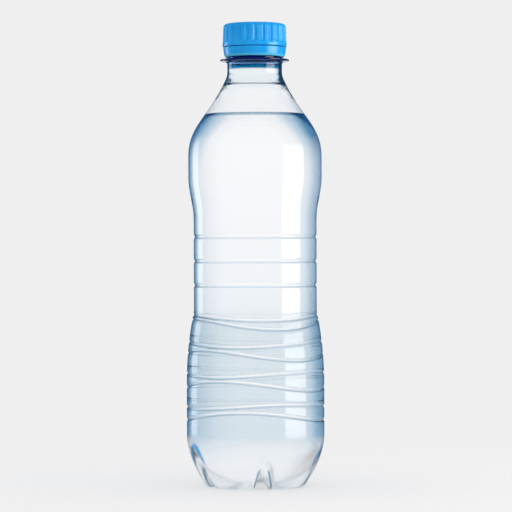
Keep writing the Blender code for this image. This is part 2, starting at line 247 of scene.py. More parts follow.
# Lamps as name, azimuth in degrees, height, width, how tall, radiance
LAMPS = (
    ("right_box", 71, 0.13, 0.69, 0.36, 5.0),
    ("left_strip", -118, 0.13, 0.36, 0.36, 2.2),
    ("top_box", 20, 0.9, 0.6, 0.6, 1.0),
)
LAMP_DISTANCE = 0.9
LAMP_AIM = 0.11

# Soft boxes in reflections, as (from, to, softness) of azimuth and of rise, and strength
REFLECTED_BOXES = (
    ((51, 93, 2.5), (-16, 14, 9), 3.8),
    ((-136, -116, 3), (-16, 16, 9), 1.9),
)

# Clear plastic, water and moulded plastic
WHITE = (1.0, 1.0, 1.0, 1)
PET_IOR = 1.57
WATER_IOR = 1.33
HDPE_IOR = 1.65

# Colours of the clear plastic, from seen face on to seen edge on: partly the plastic's own blue,
# and partly painted shade of the dark surroundings seen through its edges
FULL_TINT_AND_EDGE_SHADE = (
    (0.0, (0.97, 0.98, 1.0)),
    (0.15, (0.95, 0.97, 0.99)),
    (0.33, (0.78, 0.82, 0.86)),
    (0.45, (0.60, 0.71, 0.82)),
    (0.53, (0.39, 0.55, 0.69)),
    (0.63, (0.25, 0.39, 0.55)),
    (0.75, (0.18, 0.31, 0.46)),
    (0.9, (0.08, 0.18, 0.34)),
)
EMPTY_TINT_AND_EDGE_SHADE = (
    (0.0, (0.99, 0.99, 1.0)),
    (0.6, (0.94, 0.96, 0.98)),
    (0.9, (0.5, 0.58, 0.66)),
)
# The thick neck, from seen face on to seen edge on: its own pale blue face on, and painted shade,
# almost black, at its edges
NECK_TINT_AND_EDGE_SHADE = (
    (0.0, (0.80, 0.90, 0.93)),
    (0.40, (0.74, 0.85, 0.93)),
    (0.50, (0.44, 0.62, 0.80)),
    (0.58, (0.004, 0.03, 0.12)),
    (0.66, (0.0, 0.001, 0.012)),
)
# Painted dark edges of the shoulder, from seen face on to seen edge on
SHOULDER_EDGE_SHADE = (
    (0.27, (1.0, 1.0, 1.0)),
    (0.36, (0.52, 0.68, 0.83)),
    (0.42, (0.38, 0.56, 0.70)),
    (0.48, (0.27, 0.45, 0.58)),
    (0.55, (0.13, 0.33, 0.50)),
    (0.64, (0.04, 0.18, 0.38)),
)
# The feet, from seen face on to seen edge on: pale, with painted dark edges
BASE_TINT_AND_EDGE_SHADE = (
    (0.0, (0.82, 0.85, 0.89)),
    (0.4, (0.82, 0.86, 0.90)),
    (0.6, (0.95, 0.97, 0.99)),
    (0.74, (0.88, 0.94, 0.97)),
    (0.86, (0.28, 0.44, 0.54)),
    (0.97, (0.03, 0.10, 0.20)),
)

# Painted bands round the neck, from 6 mm under the support ring to just over the bead: a painted
# reflection of the blue cap, painted shade lines with a painted lighter line between them, painted
# shade over the support ring, and a painted shadow line at the bead along the band's top
CLEAR_BAND = (1.0, 1.0, 1.0)
CAP_REFLECTION_BAND = (0.0, 0.05, 0.2)
PAINTED_LIGHT_BAND = (0.05, 0.2, 0.6)
SHADE_BAND = (0.0, 0.0, 0.02)
NECK_PAINTED_BANDS = (
    (0.08, CLEAR_BAND),
    (0.15, CAP_REFLECTION_BAND),
    (0.23, CAP_REFLECTION_BAND),
    (0.25, SHADE_BAND),
    (0.28, SHADE_BAND),
    (0.31, PAINTED_LIGHT_BAND),
    (0.36, PAINTED_LIGHT_BAND),
    (0.38, SHADE_BAND),
    (0.62, SHADE_BAND),
    (0.69, CLEAR_BAND),
    (0.88, CLEAR_BAND),
    (0.90, SHADE_BAND),
    (0.97, SHADE_BAND),
    (1.0, CLEAR_BAND),
)

# Painted shade of the full part by height, from the feet to the mouth: darker and bluer over the
# hip, fading out up the waist
HEIGHT_SHADE = (
    (0.0, (0.95, 0.96, 0.97)),
    (0.04, (0.90, 0.93, 0.95)),
    (0.11, (0.53, 0.65, 0.74)),
    (0.345, (0.58, 0.70, 0.76)),
    (0.375, (0.79, 0.85, 0.89)),
    (0.46, (0.90, 0.93, 0.96)),
    (0.60, (0.98, 0.98, 1.0)),
    (0.70, (1.0, 1.0, 1.0)),
)


def bezier(points, t):
    """The point at t of the cubic curve with these four (radius, height) points."""
    weights = ((1 - t) ** 3, 3 * t * (1 - t) ** 2, 3 * t * t * (1 - t), t**3)
    return tuple(sum(w * p[i] for w, p in zip(weights, points)) for i in range(2))


def smooth_step(t):
    """0 up to 0 and 1 from 1 on, with a smooth rise between."""
    t = min(max(t, 0), 1)
    return t * t * (3 - 2 * t)


def blend(a, b, share):
    """The value that lies the share of the way from a to b."""
    return a + (b - a) * share


def spaced(start, end, count):
    """Evenly spaced values from start to end, without the end."""
    return [blend(start, end, i / count) for i in range(count)]


def place(angle, radius, height):
    """The point at an angle from the front towards +X."""
    return Vector((radius * math.sin(angle), -radius * math.cos(angle), height))


def turns(count):
    """Evenly spaced angles of one full turn."""
    return [2 * math.pi * j / count for j in range(count)]


def shoulder_point(t):
    """The (radius, height) at a share of the way up the shoulder."""
    curve = (
        (BULGE_RADIUS, BULGE_TOP),
        (BULGE_RADIUS, BULGE_TOP + SHOULDER_TURN),
        (NECK_FOOT_RADIUS + SHOULDER_FLANK_RISE, NECK_FOOT - SHOULDER_FLANK),
        (NECK_FOOT_RADIUS, NECK_FOOT),
    )
    return bezier(curve, t)


def shoulder_share(height):
    """The share of the way up the shoulder at which it has a height."""
    low, high = 0.0, 1.0
    for _ in range(40):
        middle = (low + high) / 2
        if shoulder_point(middle)[1] < height:
            low = middle
        else:
            high = middle
    return low


def body_radius(height):
    """The radius of the body between its grooves."""
    if height > BULGE_TOP:
        return shoulder_point(shoulder_share(height))[0]
    if height > WAIST_TOP:
        share = smooth_step((height - WAIST_TOP) / FLARE_HEIGHT)
        return blend(WAIST_RADIUS, BULGE_RADIUS, share)
    share = min(max((height - HIP_TOP) / (WAIST_BOTTOM - HIP_TOP), 0), 1)
    return blend(HIP_RADIUS, WAIST_RADIUS, share * share)


def groove(offset, half):
    """The share of its depth that a rounded groove has at an offset from its middle."""
    if abs(offset) >= half:
        return 0.0
    return math.cos(offset / half * math.pi / 2) ** GROOVE_SHARPNESS


def wave_heights(level, angle):
    """The heights of the twin groove and the main groove of a pair at an angle."""
    centre = FIRST_WAVE + level * WAVE_PITCH
    main_turn = angle - WAVE_PHASE - level * WAVE_PHASE_STEP
    twin_turn = angle - TWIN_PHASE - level * TWIN_PHASE_STEP
    main = centre - WAVE_SWING * math.cos(WAVES_AROUND * main_turn)
    twin = centre + TWIN_SPLITS[level] - TWIN_SWING * math.cos(WAVES_AROUND * twin_turn)
    return max(twin, main + WAVE_WIDTH / 2), main


def wave_point(level, angle, height):
    """The point of the hip at a height, in the grooves of a level."""
    twin, main = wave_heights(level, angle)
    half = WAVE_WIDTH / 2
    cut = max(groove(height - twin, half), groove(height - main, half))
    return place(angle, body_radius(height) - WAVE_DEPTH * cut, height)


def wave_rows():
    """Rows that follow the wave grooves, from the waist down to the top of the base."""
    columns = turns(COLUMNS)
    half = WAVE_WIDTH / 2
    rows = []
    above = [WAIST_BOTTOM + WAVE_WIDTH] * COLUMNS
    for level in reversed(range(WAVE_LEVELS)):
        pairs = [wave_heights(level, angle) for angle in columns]
        starts = [twin + half for twin, _ in pairs]
        twins = [twin for twin, _ in pairs]
        mains = [main for _, main in pairs]
        ends = [main - half for main in mains]
        spans = [
            (above, starts, ABOVE_WAVE_ROWS),
            (starts, twins, HALF_WAVE_ROWS),
            (twins, mains, BETWEEN_WAVES_ROWS),
            (mains, ends, HALF_WAVE_ROWS),
        ]
        for tops, bottoms, count in spans:
            for i in range(count):
                heights = [blend(t, b, i / count) for t, b in zip(tops, bottoms)]
                rows.append([wave_point(level, a, h) for a, h in zip(columns, heights)])
        above = ends
    for share in spaced(0, 1, BELOW_WAVES_ROWS):
        heights = [blend(t, BASE_HEIGHT, share) for t in above]
        rows.append([wave_point(0, a, h) for a, h in zip(columns, heights)])
    return rows


def foot_point(share):
    """The (radius, height) at a share of the way down the outside of a foot."""
    curve = (
        (HIP_RADIUS, BASE_HEIGHT),
        (HIP_RADIUS, BASE_HEIGHT - BASE_TURN),
        (FOOT_OUTER_RADIUS + FOOT_TURN, FOOT_TURN),
        (FOOT_OUTER_RADIUS, 0),
    )
    return bezier(curve, share)


def strap_point(share):
    """The (radius, height) at a share of the way down the floor of a valley."""
    curve = (
        (HIP_RADIUS, BASE_HEIGHT),
        (HIP_RADIUS, BASE_HEIGHT - STRAP_TURN),
        (HIP_RADIUS / 2, HUB_HEIGHT),
        (0, HUB_HEIGHT),
    )
    return bezier(curve, share)


def foot_share(angle):
    """0 on the floor of a valley, 1 on the foot beside it."""
    pitch = 2 * math.pi / FEET
    off = (angle - FIRST_VALLEY + pitch / 2) % pitch - pitch / 2
    return smooth_step(abs(off) / VALLEY_HALF_ANGLE)


def base_row(foot, strap):
    """A row that runs from the foot's point to the valley's and back."""
    row = []
    for angle in turns(COLUMNS):
        share = foot_share(angle)
        row.append(place(angle, *(blend(s, f, share) for s, f in zip(strap, foot))))
    return row


def base_rows():
    """The rows under the hip, down the feet and up to the hub."""
    outer, inner = STRAP_UNDER_PAD
    rows = []
    for share in spaced(0, 1, FOOT_ROWS):
        rows.append(base_row(foot_point(share), strap_point(outer * share)))
    pad = [(FOOT_OUTER_RADIUS, 0.0), (FOOT_INNER_RADIUS, 0.0)]
    middle, end = STRAP_UNDER_SLOPE
    halfway = ((FOOT_INNER_RADIUS + HUB_RADIUS) / 2, HUB_HEIGHT / 2)
    stops = [
        (pad[0], outer, PAD_ROWS),
        (pad[1], inner, UNDERSIDE_ROWS),
        (halfway, middle, UNDERSIDE_ROWS),
        ((HUB_RADIUS, HUB_HEIGHT), end, 1),
    ]
    for (foot, strap, count), (next_foot, next_strap, _) in zip(stops, stops[1:]):
        for i in range(count):
            share = i / count
            point = tuple(blend(a, b, share) for a, b in zip(foot, next_foot))
            rows.append(base_row(point, strap_point(blend(strap, next_strap, share))))
    rows.append(base_row((HUB_RADIUS, HUB_HEIGHT), strap_point(end)))
    rows.append(base_row((HUB_RADIUS / 2, HUB_HEIGHT), (HUB_RADIUS / 2, HUB_HEIGHT)))
    return rows


def level_row(radius, height, count=COLUMNS):
    """A round row at one height."""
    return [place(a, radius, height) for a in turns(count)]


def plain_rows(top, bottom, count):
    """Rows of the body between two heights, without grooves."""
    return [level_row(body_radius(z), z) for z in spaced(top, bottom, count)]


def body_rows():
    """The outer skin of the blown body, from the shoulder down to the hub."""
    rows = [level_row(*shoulder_point(t)) for t in spaced(NECK_SHARE, 0, SHOULDER_ROWS)]
    rows += plain_rows(BULGE_TOP, WAIST_TOP, FLARE_ROWS)
    half = RIB_WIDTH / 2
    top = WAIST_TOP
    for rib in reversed(range(RIBS)):
        middle = FIRST_RIB + rib * RIB_PITCH
        rows += plain_rows(top, middle + half, ABOVE_RIB_ROWS)
        for z in spaced(middle + half, middle - half, RIB_ROWS):
            cut = RIB_DEPTH * groove(z - middle, half)
            rows.append(level_row(body_radius(z) - cut, z))
        top = middle - half
    rows += plain_rows(top, WAIST_BOTTOM + WAVE_WIDTH, BELOW_RIBS_ROWS)
    return rows + wave_rows() + base_rows()


def round_corners(profile, sizes, steps=4):
    """The (radius, height) outline with each corner of a size rounded off."""
    out = []
    for i, (point, size) in enumerate(zip(profile, sizes)):
        if not size:
            out.append(point)
            continue
        ends = []
        for other in (profile[i - 1], profile[(i + 1) % len(profile)]):
            reach = math.dist(point, other)
            share = min(size / reach, 0.5)
            ends.append(tuple(blend(p, o, share) for p, o in zip(point, other)))
        for j in range(steps + 1):
            t = j / steps
            one = [blend(a, p, t) for a, p in zip(ends[0], point)]
            two = [blend(p, b, t) for p, b in zip(point, ends[1])]
            out.append(tuple(blend(a, b, t) for a, b in zip(one, two)))
    return out


def thread_height(angle, height, turn_count, lead, drop, vents):
    """The share of a thread's full height at a place on its wall."""
    start = MOUTH - THREAD_DROP - NECK_THREAD_TURNS * THREAD_PITCH - drop
    whole = 2 * math.pi * turn_count
    best = 0.0
    for lap in range(-1, math.ceil(turn_count) + 1):
        along = angle - lead + 2 * math.pi * lap
        if not 0 <= along <= whole:
            continue
        middle = start + THREAD_PITCH * (along + lead) / (2 * math.pi)
        off = abs(height - middle) * 2
        slope = (THREAD_ROOT_WIDTH - off) / (THREAD_ROOT_WIDTH - THREAD_CREST_WIDTH)
        share = smooth_step(slope)
        share *= smooth_step(min(along, whole - along) / THREAD_TAPER)
        if vents:
            gap = 2 * math.pi / vents
            beside = abs((along + gap / 2) % gap - gap / 2)
            share *= smooth_step((beside - VENT_HALF_ANGLE) / (VENT_HALF_ANGLE / 2))
        best = max(best, share)
    return best


def neck_rows():
    """The outside of the moulded neck, from the mouth down to the shoulder."""
    lip = LIP_ROUND
    rows = [level_row(FINISH_RADIUS - lip * (1 - math.sin(a)), MOUTH - lip * (1 - math.cos(a)))
            for a in spaced(0, math.pi / 2, LIP_ROWS)]
    ridge = THREAD_CREST_RADIUS - FINISH_RADIUS
    for z in spaced(MOUTH - lip, BEAD_TOP + lip, round((MOUTH - BEAD_TOP) / THREAD_ROW)):
        rows.append([
            place(a, FINISH_RADIUS + ridge * thread_height(a, z, NECK_THREAD_TURNS, 0, 0, VENTS), z)
            for a in turns(COLUMNS)
        ])
    profile = [
        (FINISH_RADIUS, BEAD_TOP + lip),
        (FINISH_RADIUS, BEAD_TOP),
        (BEAD_RADIUS, BEAD_TOP - BEAD_HEIGHT / 3),
        (BEAD_RADIUS, BEAD_BOTTOM),
        (FINISH_RADIUS, BEAD_BOTTOM),
        (FINISH_RADIUS, RING_TOP),
        (RING_RADIUS, RING_TOP),
        (RING_RADIUS, RING_BOTTOM),
        (NECK_RADIUS, RING_BOTTOM - RING_TAPER),
        (NECK_RADIUS, NECK_FOOT + NECK_FLARE),
        (NECK_FOOT_RADIUS, NECK_FOOT),
        shoulder_point(NECK_SHARE),
    ]
    rounds = [0, 0.0003, 0.0003, 0.0003, 0.0004, 0.0005, 0.0003, 0.0003, 0.0011, 0.0021, 0.0012, 0]
    rounded = round_corners(profile, rounds, steps=6)
    return rows + [level_row(r, z) for r, z in rounded[:-1]]


def interpolate(stops, x):
    """The value at x between (position, value) stops in falling order."""
    for (high, above), (low, below) in zip(stops, stops[1:]):
        if x > low:
            return blend(below, above, min((x - low) / (high - low), 1))
    return stops[-1][1]


def bore_rows(outer):
    """The inside of the neck, from the mouth down to where the wall is as thin as the body's."""
    rim = BORE_RIM
    rounded = round_corners(
        [(BORE_RADIUS + rim, MOUTH), (BORE_RADIUS, MOUTH - rim), (BORE_RADIUS, BORE_END)],
        [0, BORE_ROUND, 0],
    )
    rows = [level_row(r, z) for r, z in rounded[:-1]]
    start = NECK_FOOT + NECK_WALLS[0][0]
    rows += [level_row(BORE_RADIUS, z) for z in spaced(MOUTH - BORE_START, start, BORE_ROWS)]
    end = shoulder_point(THICK_SHOULDER_SHARE)[1]
    firsts = [row[0] for row in outer if row[0].z < RING_BOTTOM - UNDER_RING]
    skin = [(point.z, Vector((point.x, point.y)).length) for point in firsts]
    walls = [(NECK_FOOT + rise, wall) for rise, wall in NECK_WALLS] + [(end, WALL)]
    for z in spaced(start, end, THINNING_ROWS):
        rows.append(level_row(interpolate(skin, z) - interpolate(walls, z), z))
    return rows


def inward(rows, depths):
    """Each row with a depth, its points moved in from the surface by it."""
    moved = []
    for i, depth in enumerate(depths):
        if depth is None:
            continue
        above, below = rows[max(i - 1, 0)], rows[min(i + 1, len(rows) - 1)]
        count = len(rows[i])
        row = []
        for j, point in enumerate(rows[i]):
            across = rows[i][(j + 1) % count] - rows[i][j - 1]
            outward = (below[j] - above[j]).cross(across).normalized()
            row.append(point - depth * outward)
        moved.append(row)
    return moved


def ring_mesh(name, rings, closed=False):
    """A mesh that joins each ring of points to the next. A ring of one point is a pole."""
    points, starts = [], []
    for ring in rings:
        starts.append(len(points))
        points += ring
    pairs = list(zip(range(len(rings)), range(1, len(rings))))
    if closed:
        pairs.append((len(rings) - 1, 0))
    faces = []
    for one, other in pairs:
        a, b = starts[one], starts[other]
        na, nb = len(rings[one]), len(rings[other])
        for j in range(max(na, nb)):
            k = (j + 1) % max(na, nb)
            face = [a + j % na, b + j % nb]
            if nb > 1:
                face.append(b + k)
            if na > 1:
                face.append(a + k)
            faces.append(face)
    mesh = bpy.data.meshes.new(name)
    mesh.from_pydata([tuple(p) for p in points], [], faces)
    mesh.validate()
    mesh.shade_smooth()
    thing = bpy.data.objects.new(name, mesh)
    bpy.context.scene.collection.objects.link(thing)
    return thing


def make_bottle():
    """The outer skin down to the hub, then the inner skin back up to the mouth."""
    neck = neck_rows()
    body = body_rows()
    outer = neck + body
    thin_at = shoulder_point(THICK_SHOULDER_SHARE)[1]
    depths = [WALL if row[0].z < thin_at else None for row in outer]
    inner = bore_rows(outer) + inward(outer, depths)
    hub = [Vector((0, 0, HUB_HEIGHT))]
    floor = [Vector((0, 0, HUB_HEIGHT + WALL))]
    bottle = ring_mesh("clear_bottle", outer + [hub, floor] + inner[::-1], closed=True)
    inside_from = len(outer) * COLUMNS
    for face in bottle.data.polygons:
        if max(face.vertices) > inside_from:
            face.material_index = 1
    return bottle


def make_water():
    """The water, sunk a little way into the wall so that no air shows between them."""
    body = body_rows()
    skin = inward(body, [WATER_SINK] * len(body))
    skin = [row for row in skin if max(p.z for p in row) < WATER_LEVEL]
    rim = sum(Vector((p.x, p.y)).length for p in skin[0]) / len(skin[0])
    lean = (rim - math.hypot(skin[1][0].x, skin[1][0].y)) / (skin[0][0].z - skin[1][0].z)
    edge = rim + lean * (WATER_LEVEL - skin[0][0].z)
    middle = WATER_LEVEL - MENISCUS_RISE
    surface = [[Vector((0, 0, middle))]]
    for share in SURFACE_SHARES:
        surface.append(level_row(edge * share, middle))
    for i in range(MENISCUS_ROWS):
        back = MENISCUS_REACH * MENISCUS_SPAN * (1 - i / (MENISCUS_ROWS - 1))
        rise = MENISCUS_RISE * math.exp(-back / MENISCUS_REACH)
        surface.append(level_row(edge - back, middle + rise))
    floor = [Vector((0, 0, HUB_HEIGHT + WATER_SINK))]
    return ring_mesh("still_water", surface + skin + [floor])


def grip_cut(angle):
    """How far the cap's grip cuts in at an angle: one deep groove, then fine ribs."""
    pitch = 2 * math.pi / CAP_GRIPS
    off = (angle - FIRST_GRIP + pitch / 2) % pitch - pitch / 2
    if abs(off) < GRIP_HALF_ANGLE:
        return GRIP_DEPTH * math.cos(off / GRIP_HALF_ANGLE * math.pi / 2)
    along = (off % pitch - GRIP_HALF_ANGLE) / (pitch - 2 * GRIP_HALF_ANGLE)
    return FINE_RIB_DEPTH * (0.5 - 0.5 * math.cos(2 * math.pi * FINE_RIBS * along))


def make_cap():
    """The cap from the middle of its top down the skirt, then up inside to the plug."""
    columns = [FIRST_GRIP + a for a in turns(CAP_GRIPS * GRIP_COLUMNS)]

    def skirt_radius(height):
        return CAP_RADIUS + CAP_SKIRT_SPREAD * (CAP_TOP - height) / (CAP_TOP - CAP_BOTTOM)

    rings = [[Vector((0, 0, CAP_TOP))]]
    for share in CAP_TOP_SHARES:
        rings.append([place(a, (CAP_RADIUS - CAP_EDGE) * share, CAP_TOP) for a in columns])
    grip_end = CAP_BOTTOM + CAP_LIP_HEIGHT
    outline = []
    for turn in range(0, 91, 10):
        angle = math.radians(turn)
        height = CAP_TOP - CAP_EDGE * (1 - math.cos(angle))
        inset = CAP_EDGE * (1 - math.sin(angle))
        outline.append((skirt_radius(height) - inset, height, math.sin(angle) ** 0.5))
    for height in spaced(CAP_TOP - CAP_EDGE, grip_end + GRIP_FADE, GRIP_ROWS)[1:]:
        outline.append((skirt_radius(height), height, 1))
    for i in range(GRIP_END_ROWS + 1):
        height = grip_end + GRIP_FADE - GRIP_FADE * i / GRIP_END_ROWS
        outline.append((skirt_radius(height), height, math.cos(i / GRIP_END_ROWS * math.pi / 2)))
    lip_top = grip_end - CAP_LIP_DROP
    outline.append((skirt_radius(lip_top), lip_top, 0))
    for turn in range(0, 91, 30):
        angle = math.radians(turn)
        outline.append((
            skirt_radius(CAP_BOTTOM) - CAP_LIP_ROUND * (1 - math.cos(angle)),
            CAP_BOTTOM + CAP_LIP_ROUND * (1 - math.sin(angle)),
            0,
        ))
    for radius, height, depth in outline:
        rings.append([place(a, radius - grip_cut(a) * depth, height) for a in columns])
    crest = FINISH_RADIUS + TURNING_GAP
    drop = (THREAD_ROOT_WIDTH + THREAD_CREST_WIDTH) / 2 + THREAD_FACE_GAP
    rings.append([place(a, CAP_INNER_RADIUS, CAP_BOTTOM) for a in columns])
    thread_top = CAP_CEILING - CAP_THREAD_TOP
    for z in spaced(CAP_BOTTOM + CAP_THREAD_BOTTOM, thread_top, CAP_THREAD_ROWS):
        ring = []
        for a in columns:
            share = thread_height(a, z, CAP_THREAD_TURNS, CAP_THREAD_LEAD, drop, 0)
            ring.append(place(a, blend(CAP_INNER_RADIUS, crest, share), z))
        rings.append(ring)
    plug_outer = BORE_RADIUS - RUNNING_GAP
    plug_inner = plug_outer - PLUG_THICKNESS
    plug_bottom = MOUTH - PLUG_LENGTH
    inside = round_corners(
        [
            (CAP_INNER_RADIUS, thread_top),
            (CAP_INNER_RADIUS, CAP_CEILING),
            (plug_outer, CAP_CEILING),
            (plug_outer, plug_bottom),
            (plug_inner, plug_bottom),
            (plug_inner, CAP_CEILING),
            (plug_inner / 2, CAP_CEILING),
        ],
        [0, 0.0003, 0.0003, 0.0003, 0.0003, 0.0004, 0],
    )
    rings += [[place(a, r, z) for a in columns] for r, z in inside]
    rings.append([Vector((0, 0, CAP_CEILING))])
    return ring_mesh("screw_cap", rings)


def make_tamper_band():
    """The band, with a chamfer below and a flap that catches under the bead."""
    outer_top = CAP_RADIUS + CAP_SKIRT_SPREAD / 4
    outer_bottom = outer_top - BAND_TAPER
    inner = BEAD_RADIUS + TURNING_GAP
    flap_inner = FINISH_RADIUS + TURNING_GAP
    flap_top = BEAD_BOTTOM - RUNNING_GAP
    bottom = BAND_TOP - BAND_HEIGHT
    profile = [
        (outer_top, BAND_TOP),
        (outer_bottom, bottom + BAND_CHAMFER),
        (outer_bottom - BAND_CHAMFER / 2, bottom),
        (outer_bottom - BAND_WALL, bottom),
        (flap_inner, flap_top - FLAP_TIP),
        (flap_inner, flap_top),
        (inner, flap_top),
        (inner, BAND_TOP),
    ]
    rounds = [0.0002, 0.0002, 0.0001, 0.0001, 0.0001, 0.0001, 0.0002, 0.0002]
    rings = [level_row(r, z, BAND_COLUMNS) for r, z in round_corners(profile, rounds)]
    return ring_mesh("tamper_ring", rings, closed=True)


class Nodes:
    """A material's or world's node tree, with short calls to add and join nodes."""

    def __init__(self, owner):
        owner.use_nodes = True
        self.tree = owner.node_tree
        self.tree.nodes.clear()

    def feed(self, socket, value):
        """Join another socket to this one, or set its value."""
        if isinstance(value, bpy.types.NodeSocket):
            self.tree.links.new(value, socket)
        else:
            socket.default_value = value

    def add(self, kind, settings=None, **inputs):
        """A node with its inputs fed, each given by name or, after a low line, by number."""
        node = self.tree.nodes.new("ShaderNode" + kind)
        for name, value in (settings or {}).items():
            setattr(node, name, value)
        for name, value in inputs.items():
            key = int(name[1:]) if name[0] == "_" else name.replace("_", " ")
            self.feed(node.inputs[key], value)
        return node

    def ramp(self, factor, stops, smooth=False):
        """The colour at the factor between (position, colour) stops."""
        node = self.add("ValToRGB", _0=factor)
        node.color_ramp.interpolation = "EASE" if smooth else "LINEAR"
        elements = node.color_ramp.elements
        while len(elements) < len(stops):
            elements.new(0.5)
        for element, (position, colour) in zip(elements, stops):
            element.position = position
            element.color = (*colour, 1)
        return node.outputs[0]

    def mix(self, share, one, other):
        """The one colour at share 0 and the other at share 1."""
        return self.add("Mix", {"data_type": "RGBA"}, _0=share, _6=one, _7=other).outputs[2]

    def multiply(self, one, other):
        """The product of two colours."""
        settings = {"data_type": "RGBA", "blend_type": "MULTIPLY"}
        return self.add("Mix", settings, _0=1.0, _6=one, _7=other).outputs[2]

    def darken(self, colour, share, shade):
        """The colour, multiplied by a shade as far as the share goes."""
        return self.multiply(colour, self.mix(share, WHITE, shade))

    def maths(self, operation, *values):
        """The result of a Math node."""
        node = self.add("Math", {"operation": operation})
        for socket, value in zip(node.inputs, values):
            self.feed(socket, value)
        return node.outputs[0]

    def times(self, first, *others):
        """The product of all these values."""
        for other in others:
            first = self.maths("MULTIPLY", first, other)
        return first

    def span(self, value, start, end, low=0.0, high=1.0, smooth=False):
        """Low where the value is at the start, and high where it is at the end."""
        kind = {"interpolation_type": "SMOOTHSTEP" if smooth else "LINEAR"}
        return self.add("MapRange", kind, Value=value, From_Min=start, From_Max=end,
                        To_Min=low, To_Max=high).outputs[0]

    def between(self, value, low, high, soft):
        """1 where the value lies between low and high, falling off over soft on both sides."""
        rise = self.span(value, low - soft, low + soft, smooth=True)
        fall = self.span(value, high - soft, high + soft, 1.0, 0.0, smooth=True)
        return self.times(rise, fall)

    def glass_output(self, shader, shade):
        """The shader, and a clear filter of the shade for the light that passes to the floor."""
        see = self.add("BsdfTransparent", Color=shade)
        shadow = self.add("LightPath").outputs["Is Shadow Ray"]
        mix = self.add("MixShader", _0=shadow, _1=shader.outputs[0], _2=see.outputs[0])
        self.add("OutputMaterial", Surface=mix.outputs[0])

    def through_glass(self):
        """1 for a ray that has passed into clear plastic or water, also after it turned there."""
        path = self.add("LightPath").outputs
        entered = self.maths("GREATER_THAN", path["Transmission Depth"], 0.5)
        return self.maths("MAXIMUM", path["Is Transmission Ray"], entered)


def hip_shades(n, tint_and_shade, height, slope, facing):
    """The colour with painted shade by height, painted highlights on the grooves' upper sides,
    painted shade on their lower sides, and painted shade on the left rim and the flanks of the hip.
    """
    grooved = n.between(height, BASE_HEIGHT, WAIST_TOP, 0.001)
    # The grooves' upper flanks are left out of the painted shade by height, a painted highlight;
    # their lower flanks get painted shade
    bright = n.times(n.maths("LESS_THAN", slope["Z"], -0.25), grooved)
    dark = n.times(n.span(slope["Z"], 0.27, 0.5), grooved)
    gradient = n.ramp(n.span(height, 0.0, MOUTH), HEIGHT_SHADE)
    tint_and_shade = n.multiply(tint_and_shade, n.mix(bright, gradient, WHITE))
    tint_and_shade = n.darken(tint_and_shade, dark, (0.52, 0.64, 0.73, 1))
    # Painted shade on the bottle's own left rim, left flank and right flank, by its X axis
    left = n.span(slope["X"], 0.0, -0.3)
    right = n.span(slope["X"], 0.1, 0.4)
    hip = n.span(height, WAIST_BOTTOM, LAST_WAVE)
    left_rim = n.times(n.span(facing, 0.60, 0.70), left)
    left_flank = n.times(n.span(facing, 0.02, 0.28), left, hip)
    right_flank = n.times(n.span(facing, 0.40, 0.60), right, hip)
    tint_and_shade = n.darken(tint_and_shade, left_rim, (0.14, 0.30, 0.46, 1))
    tint_and_shade = n.darken(tint_and_shade, left_flank, (0.72, 0.82, 0.90, 1))
    return n.darken(tint_and_shade, right_flank, (0.58, 0.79, 0.90, 1))


def shoulder_shades(n, tint_and_shade, height, facing):
    """The colour with painted dark edges in the shoulder, and a painted dark outline widest just
    under the water's surface.
    """
    lower = n.span(height, BULGE_TOP + 0.010, BULGE_TOP - 0.004)
    tint_and_shade = n.multiply(tint_and_shade, n.mix(lower, n.ramp(facing, SHOULDER_EDGE_SHADE), WHITE))
    # Painted dark outline along the edges just under the water's surface
    under = n.span(height, WATER_LEVEL, WATER_LEVEL - 0.001, high=0.12)
    deeper = n.span(height, WATER_LEVEL - 0.001, WATER_LEVEL - 0.009, high=0.44)
    reach = n.maths("SUBTRACT", n.maths("SUBTRACT", facing, under), deeper)
    return n.mix(n.span(reach, 0.34, 0.47), tint_and_shade, (0.0, 0.006, 0.06, 1))


def base_shades(n, tint_and_shade, at, facing):
    """Pale feet with painted dark edges, a painted dark line down each side of a valley and a
    painted blue arch of refracted light over it.
    """
    height = at["Z"]
    half = 180 / FEET
    # Pale feet, with painted dark edges where they are seen edge on
    tint_and_shade = n.mix(n.span(height, BASE_HEIGHT, 0.011), tint_and_shade, n.ramp(facing, BASE_TINT_AND_EDGE_SHADE))
    turn = n.maths("DEGREES", n.maths("ARCTAN2", at["X"], n.maths("MULTIPLY", at["Y"], -1.0)))
    from_valley = n.maths("SUBTRACT", turn, math.degrees(FIRST_VALLEY))
    off = n.maths("ABSOLUTE", n.maths("WRAP", from_valley, half, -half))
    # A painted dark line down each side of a valley
    edge = n.span(height, 0.0, 0.011, 10.5, 4.0)
    beside = n.maths("ABSOLUTE", n.maths("SUBTRACT", off, edge))
    line = n.times(n.span(beside, 1.3, 0.3, smooth=True), n.between(height, 0.0005, 0.0095, 0.001))
    tint_and_shade = n.mix(line, tint_and_shade, (0.04, 0.13, 0.21, 1))
    # A painted blue arch of refracted light over each valley, where its wall is turned away
    arch = n.maths("MULTIPLY_ADD", n.times(off, off), 0.000032, height)
    hood = n.times(
        n.between(arch, 0.0146, 0.0216, 0.0012),
        n.span(facing, 0.40, 0.55, smooth=True),
        n.span(off, 20.0, 13.0),
    )
    return n.mix(hood, tint_and_shade, (0.0, 0.13, 0.55, 1))


